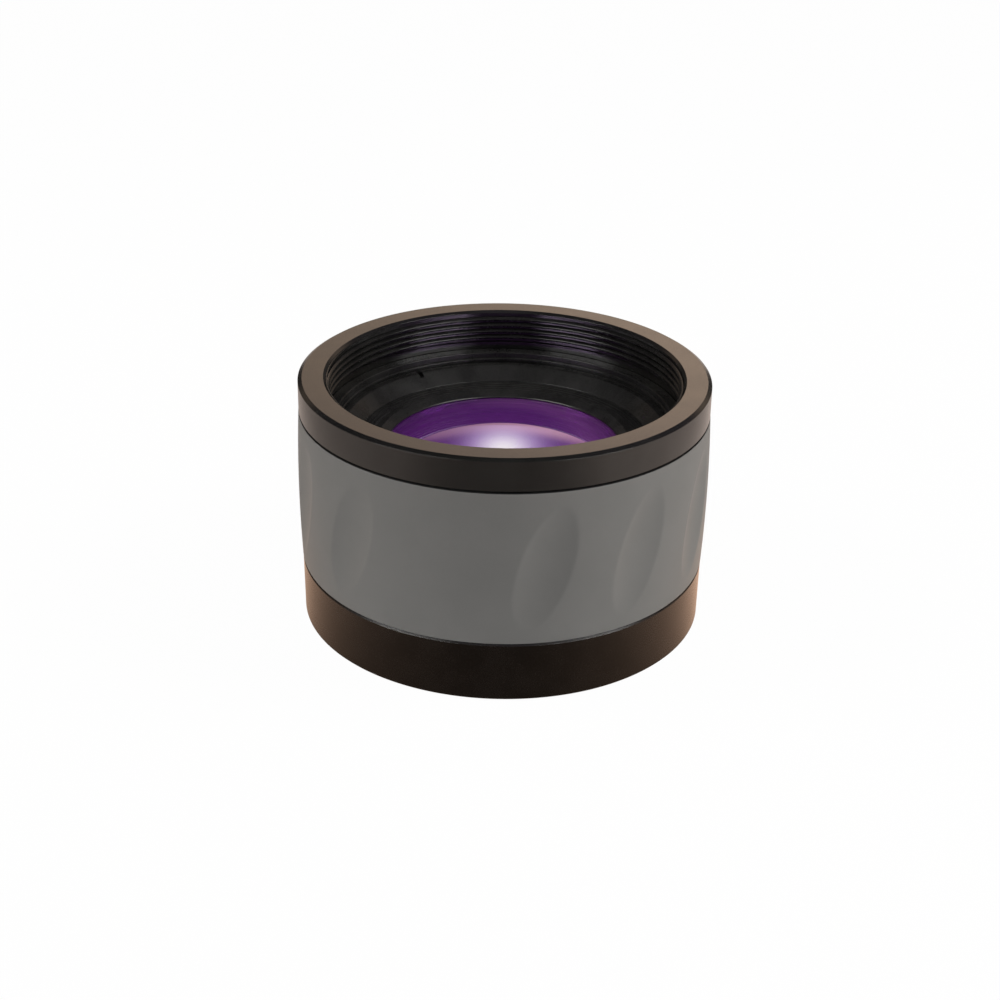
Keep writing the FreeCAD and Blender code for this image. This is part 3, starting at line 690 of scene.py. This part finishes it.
grip_middle = (GRIP_FRONT + GRIP_REAR) / 2
half_chord = (GRIP_FRONT - GRIP_REAR) / 2 - GRIP_CHAMFER
crown_curve = (half_chord ** 2 + GRIP_CROWN ** 2) / (2 * GRIP_CROWN)
crown = []
for row in range(1, CROWN_ROWS):
    up = half_chord * (2 * row / CROWN_ROWS - 1)
    swell = math.sqrt(crown_curve ** 2 - up ** 2) - crown_curve + GRIP_CROWN
    crown.append((GRIP_END_RADIUS + swell, grip_middle + up))
rear_edge = [
    (GRIP_BORE, GRIP_REAR),
    (GRIP_END_RADIUS - GRIP_CHAMFER, GRIP_REAR),
    (GRIP_END_RADIUS - EDGE_DRAW_IN, GRIP_REAR + EDGE_RISE),
    (GRIP_END_RADIUS, GRIP_REAR + GRIP_CHAMFER),
]
front_edge = [(radius, 2 * grip_middle - height) for radius, height in reversed(rear_edge)]
bare_grip = turned("bare_grip", rear_edge + crown + front_edge, around=GRIP_STEPS_AROUND)


def recess_tree():
    """Nodes that press slanted leaf-shaped recesses into a barrel, all but one place round it."""
    tree = bpy.data.node_groups.new("finger_recesses", "GeometryNodeTree")
    tree.interface.new_socket("Barrel", in_out="INPUT", socket_type="NodeSocketGeometry")
    names = [
        "Places", "First", "Middle", "Form Radius", "Half Length", "Half Width", "Half Height",
        "Slant", "Edge", "Keep Inside",
    ]
    for name in names:
        tree.interface.new_socket(name, in_out="INPUT", socket_type="NodeSocketFloat")
    tree.interface.new_socket("Finish", in_out="INPUT", socket_type="NodeSocketMaterial")
    tree.interface.new_socket("Pressed", in_out="OUTPUT", socket_type="NodeSocketGeometry")
    entry = tree.nodes.new("NodeGroupInput")
    given = {socket.name: Net(tree, socket) for socket in entry.outputs if socket.name}
    net = Net(tree)
    here = net.add("GeometryNodeInputPosition")
    x, y, z = [net.add("ShaderNodeSeparateXYZ", None, {0: here}, out=axis) for axis in "XYZ"]
    distance = (x * x + y * y).math("SQRT")
    step = 2 * math.pi / given["Places"]
    past_first = y.math("ARCTAN2", x) - given["First"] + step * 0.5 + 4 * math.pi
    turn = past_first.math("MODULO", 2 * math.pi)
    sector = (turn / step).math("FLOOR")
    aside = turn - (sector + 0.5) * step
    # The form is an ellipsoid; a ray from the axis meets its near side where this quadratic is 0.
    across, out = aside.math("SINE"), aside.math("COSINE")
    rise = z - given["Middle"]
    lean, stand = given["Slant"].math("SINE"), given["Slant"].math("COSINE")
    width_per = across * stand / given["Half Width"]
    width_rest = -(rise * lean) / given["Half Width"]
    length_per = across * lean / given["Half Length"]
    length_rest = rise * stand / given["Half Length"]
    height_per = out / given["Half Height"]
    height_rest = -(given["Form Radius"] / given["Half Height"])
    square = width_per * width_per + length_per * length_per + height_per * height_per
    cross = width_per * width_rest + length_per * length_rest + height_per * height_rest
    rest = width_rest * width_rest + length_rest * length_rest + height_rest * height_rest - 1.0
    inside = cross * cross - square * rest
    near = (-cross - inside.math("MAXIMUM", 0.0).math("SQRT")) / square
    missed = inside.math("LESS_THAN", 0.0)
    plain = sector.math("GREATER_THAN", given["Places"] - 1.5)
    cut_to = near + missed.math("MAXIMUM", plain) * FAR_OUT
    pressed = distance.math("SMOOTH_MIN", cut_to, given["Edge"])
    outer = distance.math("GREATER_THAN", given["Keep Inside"])
    scale = net.add("ShaderNodeMix", {"data_type": "FLOAT"}, {
        "Factor": outer, 2: 1.0, 3: pressed / distance,
    })
    moved = net.add("ShaderNodeCombineXYZ", None, {0: x * scale, 1: y * scale, 2: z})
    barrel = net.add("GeometryNodeSetPosition", None, {
        "Geometry": given["Barrel"], "Position": moved,
    })
    solid = net.add("GeometryNodeRealizeInstances", None, {"Geometry": barrel})
    dressed = net.add("GeometryNodeSetMaterial", None, {
        "Geometry": solid, "Material": given["Finish"],
    })
    output = tree.nodes.new("NodeGroupOutput")
    tree.links.new(dressed.socket, output.inputs["Pressed"])
    return tree


def grip_grey():
    """Grey anodised aluminium, fine and matte, with a faint mottle; the top of its front chamfer is
    painted black, a painted shade of the joint under the front ring.
    """
    made, net, shader = surface("grip_grey", Specular_IOR_Level=0.10)
    place, _, height = round_axis(net)
    mottle = net.add("ShaderNodeTexNoise", None, {"Vector": place, "Scale": 90.0, "Detail": 5.0})
    grain = net.add("ShaderNodeTexNoise", None, {"Vector": place, "Scale": 4200.0, "Detail": 3.0})
    tone = mixed(net, mottle.clamped(0.3, 0.7), (0.190, 0.189, 0.181, 1), (0.200, 0.198, 0.190, 1))
    fine = mixed(net, grain * 0.25, tone, (0.15, 0.149, 0.143, 1))
    # Painted shade: the top of the front chamfer turns black where it meets the front ring.
    end = height.clamped((GRIP_FRONT - JOINT_SHADE_REACH) * MM, (GRIP_FRONT - EDGE_RISE) * MM)
    link(net, mixed(net, end, fine, (0.004, 0.004, 0.004, 1)), shader, "Base Color")
    link(net, 0.52 + (mottle - 0.5) * 0.06 + (grain - 0.5) * 0.10, shader, "Roughness")
    bump = net.add("ShaderNodeBump", None, {"Strength": 0.3, "Distance": 0.00003, "Height": grain})
    link(net, bump, shader, "Normal")
    return made


GRIP_GREY = grip_grey()
grip = grown("grip_sleeve", recess_tree(), {
    "Places": float(RECESS_PLACES), "First": FIRST_RECESS, "Middle": grip_middle * MM,
    "Form Radius": (GRIP_END_RADIUS + GRIP_CROWN - RECESS_DEPTH + RECESS_FORM[2]) * MM,
    "Half Length": RECESS_FORM[0] * MM, "Half Width": RECESS_FORM[1] * MM,
    "Half Height": RECESS_FORM[2] * MM, "Slant": RECESS_SLANT, "Edge": RECESS_EDGE * MM,
    "Keep Inside": (GRIP_BORE + BORE_MARGIN) * MM, "Finish": GRIP_GREY,
}, base=bare_grip.data)
bpy.data.objects.remove(bare_grip)
grip.data.set_sharp_from_angle(angle=GRIP_SHARP_EDGE)
place_piece(grip, GRIP_GREY, "grey_anodised", "grip_barrel")

# Rear ring
# The black ring at the camera's end, on which the thing stands. It draws in very slightly, has a
# fine thread in its mouth and a ledge inside that the cell stands on.
REAR_SKIRT_TOP = span("rear_ring")[1]
CAMERA_WALL = 34.0
CAMERA_CHAMFER = 0.5
CAMERA_THREAD_END = CAMERA_CHAMFER + 6.5
CAMERA_RELIEF = 34.5
CELL_SEAT_RADIUS = CELL_TUBE_RADIUS + 0.05
CELL_SEAT_TOP = CELL_REAR + 4.0
REAR_DRAFT = 0.16
REAR_CHAMFER = 0.4
rear_ring = turned("rear_band", softened([
    (CAMERA_WALL + CAMERA_CHAMFER, 0.0),
    (RING_SIDE - REAR_DRAFT - REAR_CHAMFER, 0.0),
    (RING_SIDE - REAR_DRAFT, REAR_CHAMFER),
    (RING_SIDE, GRIP_REAR - JOINT_CHAMFER),
    (RING_SIDE - JOINT_CHAMFER, GRIP_REAR),
    (SKIRT_RADIUS, GRIP_REAR),
    (SKIRT_RADIUS, REAR_SKIRT_TOP),
    (RELIEF_RADIUS, REAR_SKIRT_TOP),
    (RELIEF_RADIUS, CELL_SEAT_TOP),
    (CELL_SEAT_RADIUS, CELL_SEAT_TOP),
    (CELL_SEAT_RADIUS, CELL_REAR),
    (CAMERA_RELIEF, CELL_REAR),
    (CAMERA_RELIEF, CAMERA_THREAD_END),
    (CAMERA_WALL, CAMERA_THREAD_END),
    (CAMERA_WALL, CAMERA_CHAMFER),
], BAND_ROUNDING), around=BAND_STEPS_AROUND)
REAR_BLACK = machined_black(
    "rear_black", dark=(0.004, 0.003, 0.002, 1), light=(0.007, 0.005, 0.0035, 1),
    roughness=0.26, turning=0.6, gloss=0.45,
)
place_piece(rear_ring, REAR_BLACK, "black_anodised", "rear_ring")
thread(
    "camera_thread", CAMERA_WALL, depth=0.54, pitch=1.0, crest=CAMERA_CHAMFER + 0.9,
    turns=4.8, runout=0.35, material=REAR_BLACK,
)

# Studio
# A white floor in a white room. Soft lamps at both sides and in front light the surfaces, two
# more only glint in edges, and the polished glass alone sees a bright card behind the object, a
# painted reflection that lights nothing. The floor's reflection and its glow close to the object
# are painted light too. The camera stands where the photograph was taken from.
CAMERA_DISTANCE = 0.42491
CAMERA_ELEVATION = math.radians(22.1543)
CAMERA_ROLL = math.radians(0.9814)
CAMERA_FOCUS = (-0.000675, 0.0, MOUTH * MM - 0.033011)
CAMERA_LENS = 65.486
CAMERA_FILM = 36.0
CAMERA_SEES = (0.01, 50.0)

eye = Vector((
    0.0, -CAMERA_DISTANCE * math.cos(CAMERA_ELEVATION),
    MOUTH * MM + CAMERA_DISTANCE * math.sin(CAMERA_ELEVATION),
))
ahead = (Vector(CAMERA_FOCUS) - eye).normalized()
level = ahead.cross(Vector((0, 0, 1))).normalized()
upward = level.cross(ahead)
side = level * math.cos(CAMERA_ROLL) + upward * math.sin(CAMERA_ROLL)
top = upward * math.cos(CAMERA_ROLL) - level * math.sin(CAMERA_ROLL)
camera = bpy.data.objects.new("camera", bpy.data.cameras.new("camera"))
camera.data.lens = CAMERA_LENS
camera.data.sensor_width = CAMERA_FILM
camera.data.clip_start, camera.data.clip_end = CAMERA_SEES
turn = Matrix((side, top, -ahead)).transposed().to_4x4()
camera.matrix_world = Matrix.Translation(eye) @ turn
bpy.context.scene.collection.objects.link(camera)
bpy.context.scene.camera = camera
bpy.context.scene.view_settings.view_transform = "Standard"


def sheet(name, low, high, height, material):
    """A level sheet between two corners, in metres, that only dresses the studio."""
    mesh = bpy.data.meshes.new(name)
    corners = [(low[0], low[1]), (high[0], low[1]), (high[0], high[1]), (low[0], high[1])]
    mesh.from_pydata([(x, y, height) for x, y in corners], [], [(0, 1, 2, 3)])
    mesh.materials.append(material)
    laid = bpy.data.objects.new(name, mesh)
    bpy.context.scene.collection.objects.link(laid)
    return laid


def studio_paint(name):
    """An empty material for the studio, and the tree to fill."""
    made = bpy.data.materials.new(name)
    made.use_nodes = True
    made.node_tree.nodes.clear()
    return made, Net(made.node_tree)


def white_paper():
    """White paper: the camera sees it lifted to white, so that the object's shadow stays soft. In
    reflections it is a painted reflection with painted shade: dim in front and straight behind,
    brighter at the sides, and warmest close to the object, as the black rings show. Close to the
    object it also glows for diffuse rays, a painted pool of bounce light."""
    made, net = studio_paint("white_paper")
    camera_sees = net.add("ShaderNodeLightPath", out="Is Camera Ray")
    mirror_sees = net.add("ShaderNodeLightPath", out="Is Glossy Ray")
    glass_sees = net.add("ShaderNodeLightPath", out="Is Transmission Ray")
    place = net.add("ShaderNodeTexCoord", out="Object")
    x, y = [net.add("ShaderNodeSeparateXYZ", None, {0: place}, out=axis) for axis in "XY"]
    distance = (x * x + y * y).math("SQRT")
    # Painted reflection of the paper, with painted shade where it is dim in front of the object.
    before = -(y / distance)
    near = (0.88 - before * 0.78) * x.clamped(-0.05, 0.05, 0.68, 0.94)
    near = near * before.clamped(-0.9, -0.35, 0.4, 1.0)
    far = before.clamped(0.6, 1.0, 0.82, 0.26) * x.clamped(-0.15, 0.15, 0.72, 1.0)
    far = far * before.clamped(-0.5, 0.3, 0.7, 1.0)
    out = distance.clamped(0.075, 0.17)
    level = near + (far - near) * out
    warm = distance.clamped(0.066, 0.11)
    tone = mixed(net, warm, (1.55, 1.0, 0.70, 1), (1.28, 1.06, 0.94, 1))
    painted_floor_reflection = net.add("ShaderNodeEmission", None, {"Color": tone, "Strength": level})
    white = net.add("ShaderNodeEmission", None, {"Strength": 1.0})
    paper = net.add("ShaderNodeBsdfDiffuse", None, {"Color": (0.82, 0.82, 0.82, 1)})
    # Painted bounce light: close to the object the paper glows for diffuse rays.
    painted_bounce_glow = distance.clamped(0.08, 0.20, 0.85, 0.1)
    lift = painted_bounce_glow + camera_sees * (0.98 - painted_bounce_glow)
    lifted = net.add("ShaderNodeMixShader", None, {0: lift, 1: paper, 2: white})
    shown = net.add("ShaderNodeMixShader", None, {
        0: mirror_sees.math("MAXIMUM", glass_sees), 1: lifted, 2: painted_floor_reflection,
    })
    net.add("ShaderNodeOutputMaterial", None, {"Surface": shown})
    return made


FLOOR_REACH = 9.0
FLOOR_HEIGHT = -0.0001
sheet(
    "floor_sheet", (-FLOOR_REACH, -FLOOR_REACH), (FLOOR_REACH, FLOOR_REACH), FLOOR_HEIGHT,
    white_paper(),
)

GLASS_CENTRE = (0, 0, 0.045)


def painted_reflection_card(distance, azimuth, elevation, spread, strength):
    """A card behind the object, hot in the middle and fading out, as the glass shows: a painted
    reflection that lights nothing. Only a polished face sees it, on its first bounce, so the rings
    keep their even black."""
    made, net = studio_paint("painted_glass_glow")
    place = net.add("ShaderNodeTexCoord", out="Object")
    across, up = [net.add("ShaderNodeSeparateXYZ", None, {0: place}, out=axis) for axis in "XY"]
    u, v = across / spread[0], up / spread[1]
    fade = ((u * u + v * v) * -0.5).math("EXPONENT")
    clear = net.add("ShaderNodeBsdfTransparent")
    heat = mixed(net, fade, (0.80, 0.68, 0.92, 1), (1.06, 1.46, 0.76, 1))
    lamp = net.add("ShaderNodeEmission", None, {"Color": heat, "Strength": strength})
    polished_sees = net.add("ShaderNodeLightPath", out="Is Singular Ray")
    first = net.add("ShaderNodeLightPath", out="Ray Depth").math("LESS_THAN", 1.5)
    # Painted reflection: only the first polished bounce sees the card's glow.
    seen = fade * polished_sees * first
    painted_glass_glow = net.add("ShaderNodeMixShader", None, {0: seen, 1: clear, 2: lamp})
    net.add("ShaderNodeOutputMaterial", None, {"Surface": painted_glass_glow})
    card = sheet(
        "painted_reflection_card", (-3 * spread[0], -2 * spread[1]), (3 * spread[0], 2.5 * spread[1]), 0.0, made
    )
    way = Vector((
        math.sin(azimuth) * math.cos(elevation), math.cos(azimuth) * math.cos(elevation),
        math.sin(elevation),
    ))
    card.location = Vector(GLASS_CENTRE) + way * distance
    card.rotation_euler = way.to_track_quat("Z", "Y").to_euler()


painted_reflection_card(
    distance=1.0, azimuth=math.radians(0.0), elevation=math.radians(42), spread=(0.073, 0.187),
    strength=7.0,
)

LAMP_TARGET = (0, 0, 0.04)


def soft_box(name, place, size, power, colour, glint=False):
    """A soft lamp that faces the object. It either lights its surfaces or only glints in them."""
    lamp = bpy.data.lights.new(name, "AREA")
    lamp.shape = "RECTANGLE"
    lamp.size, lamp.size_y = size
    lamp.energy = power
    lamp.color = colour
    holder = bpy.data.objects.new(name, lamp)
    holder.location = place
    facing = Vector(LAMP_TARGET) - Vector(place)
    holder.rotation_euler = facing.to_track_quat("-Z", "Y").to_euler()
    holder.visible_glossy, holder.visible_diffuse = glint, not glint
    bpy.context.scene.collection.objects.link(holder)


for name, place, power in [
    ("left_soft_box", (-0.85, -0.05, 0.75), 5.8), ("right_soft_box", (0.85, -0.05, 0.75), 9.0),
]:
    soft_box(name, place, size=(0.5, 0.5), power=power, colour=(1.0, 0.98, 0.95))
soft_box(
    "front_soft_box", (0.0, -1.1, 0.9), size=(0.9, 0.4), power=2.6, colour=(0.97, 1.0, 0.98)
)
for name, place in [("left_glint", (-0.85, -0.66, 0.70)), ("right_glint", (0.85, -0.66, 0.70))]:
    soft_box(name, place, size=(0.9, 0.34), power=22.0, colour=(1.0, 0.99, 0.97), glint=True)


def sky():
    """The room as the surfaces see it: warm and bright behind, lighter on the right, dim in front
    and overhead. The camera sees plain white."""
    world = bpy.data.worlds.new("studio")
    world.use_nodes = True
    world.node_tree.nodes.clear()
    net = Net(world.node_tree)
    way = net.add("ShaderNodeTexCoord", out="Generated")
    x, y, z = [net.add("ShaderNodeSeparateXYZ", None, {0: way}, out=axis) for axis in "XYZ"]
    around = mixed(net, y.clamped(-0.4, 0.5), (0.33, 0.34, 0.33, 1), (1.72, 1.28, 0.95, 1))
    low = mixed(net, z.clamped(0.20, 0.35), (0.20, 0.18, 0.17, 1), around)
    high = mixed(net, z.clamped(0.39, 0.50), low, (0.25, 0.21, 0.27, 1))
    over = mixed(net, z.clamped(0.92, 0.985), high, (0.05, 0.05, 0.05, 1))
    aside = x.math("ABSOLUTE").clamped(0.12, 0.32, 1.0, 0.3)
    level = x.clamped(-0.15, 0.15, 0.62, 1.2) * aside
    light = net.add("ShaderNodeBackground", None, {"Color": over, "Strength": level})
    white = net.add("ShaderNodeBackground", None, {"Color": (1, 1, 1, 1), "Strength": 1.0})
    camera_sees = net.add("ShaderNodeLightPath", out="Is Camera Ray")
    shown = net.add("ShaderNodeMixShader", None, {0: camera_sees, 1: light, 2: white})
    net.add("ShaderNodeOutputWorld", None, {"Surface": shown})
    return world


bpy.context.scene.world = sky()
